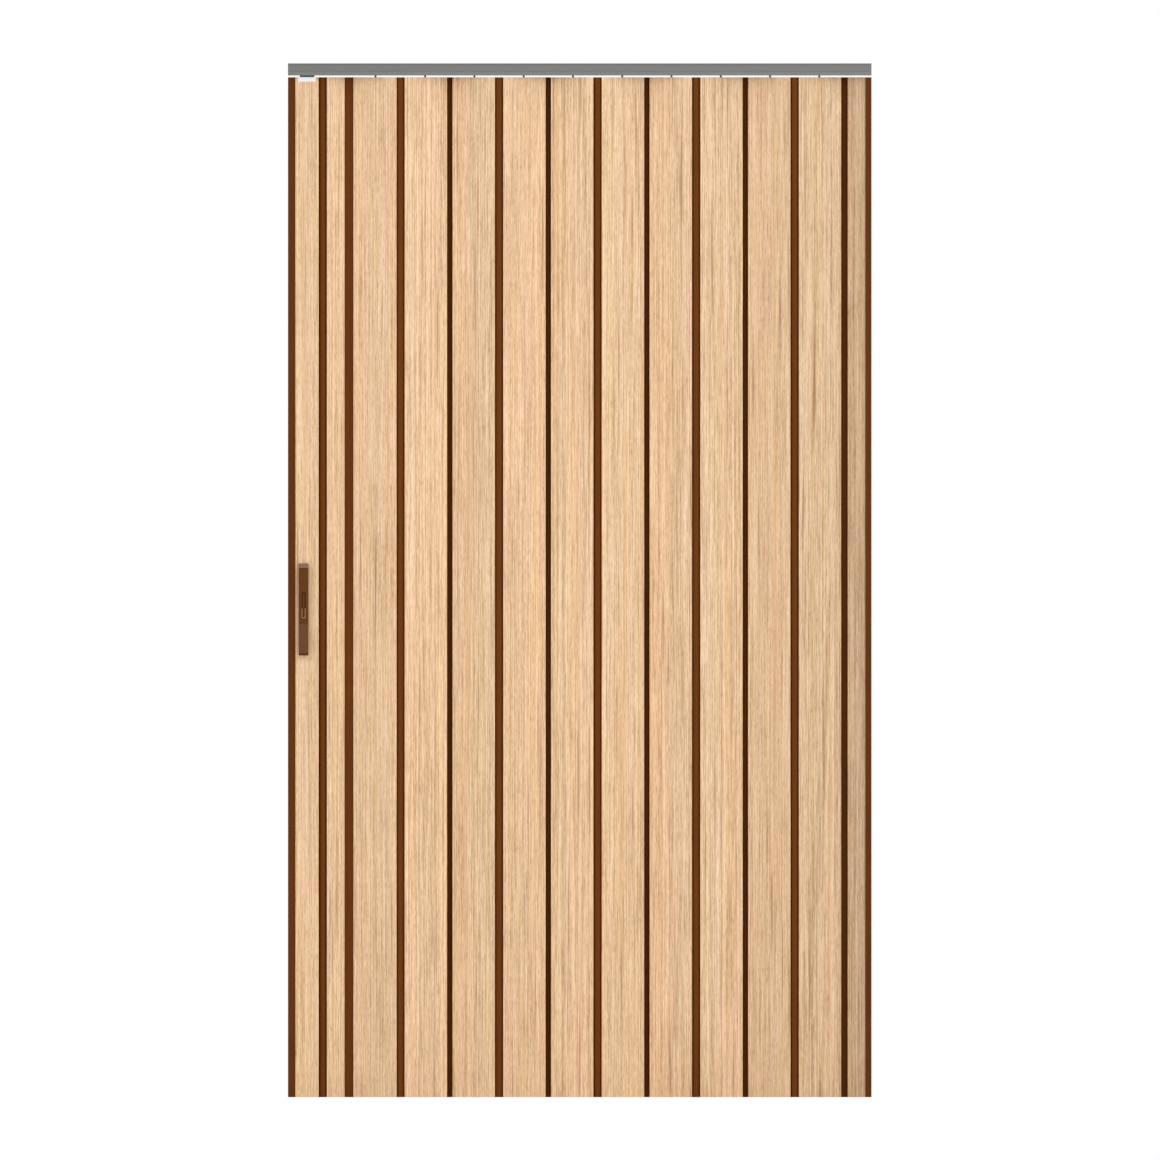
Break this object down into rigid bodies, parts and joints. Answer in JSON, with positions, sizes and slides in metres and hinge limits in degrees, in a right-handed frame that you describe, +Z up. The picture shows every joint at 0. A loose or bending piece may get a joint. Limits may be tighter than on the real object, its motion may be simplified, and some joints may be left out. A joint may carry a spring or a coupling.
{
  "type": "accordion folding door",
  "caption": "Interior accordion folding door of light oak-look hollow panels joined by brown soft hinge strips, hung from a grey top rail.",
  "frame": {"origin": "centre of the top rail's top face, where it meets the lintel", "axes": "+X along the rail towards the wall profile, -Y out of the door's front, +Z up"},
  "size_m": [1.1572, 0.048, 2.05],
  "materials": {
    "oak_foil": "satin",
    "brown_strip": "satin",
    "brown_profile": "satin",
    "grey_rail": "satin",
    "white_cap": "satin",
    "dark_runner": "satin",
    "brown_handle": "satin"
  },
  "bodies": {
    "root": {"top_rail": "grey_rail", "wall_profile": "brown_profile", "lock_stile": "oak_foil", "edge_seal": "brown_strip", "narrow_panel": "oak_foil", "panel_01": "oak_foil", "panel_02": "oak_foil", "panel_03": "oak_foil", "panel_04": "oak_foil", "panel_05": "oak_foil", "panel_06": "oak_foil", "panel_07": "oak_foil", "panel_08": "oak_foil", "panel_09": "oak_foil", "panel_10": "oak_foil", "end_half_panel": "oak_foil", "hinge_01": "brown_strip", "hinge_02": "brown_strip", "hinge_03": "brown_strip", "hinge_04": "brown_strip", "hinge_05": "brown_strip", "hinge_06": "brown_strip", "hinge_07": "brown_strip", "hinge_08": "brown_strip", "hinge_09": "brown_strip", "hinge_10": "brown_strip", "hinge_11": "brown_strip", "hinge_12": "brown_strip", "hinge_13": "brown_strip", "runner_01": "dark_runner", "runner_02": "dark_runner", "runner_03": "dark_runner", "runner_04": "dark_runner", "runner_05": "dark_runner", "runner_06": "dark_runner", "runner_07": "dark_runner", "runner_08": "dark_runner", "runner_09": "dark_runner", "runner_10": "dark_runner", "stile_guide_cap": "white_cap", "stile_trolley": "dark_runner", "handle_front": "brown_handle", "handle_back": "brown_handle", "latch_front": "brown_handle", "latch_back": "brown_handle"}
  },
  "joints": []
}
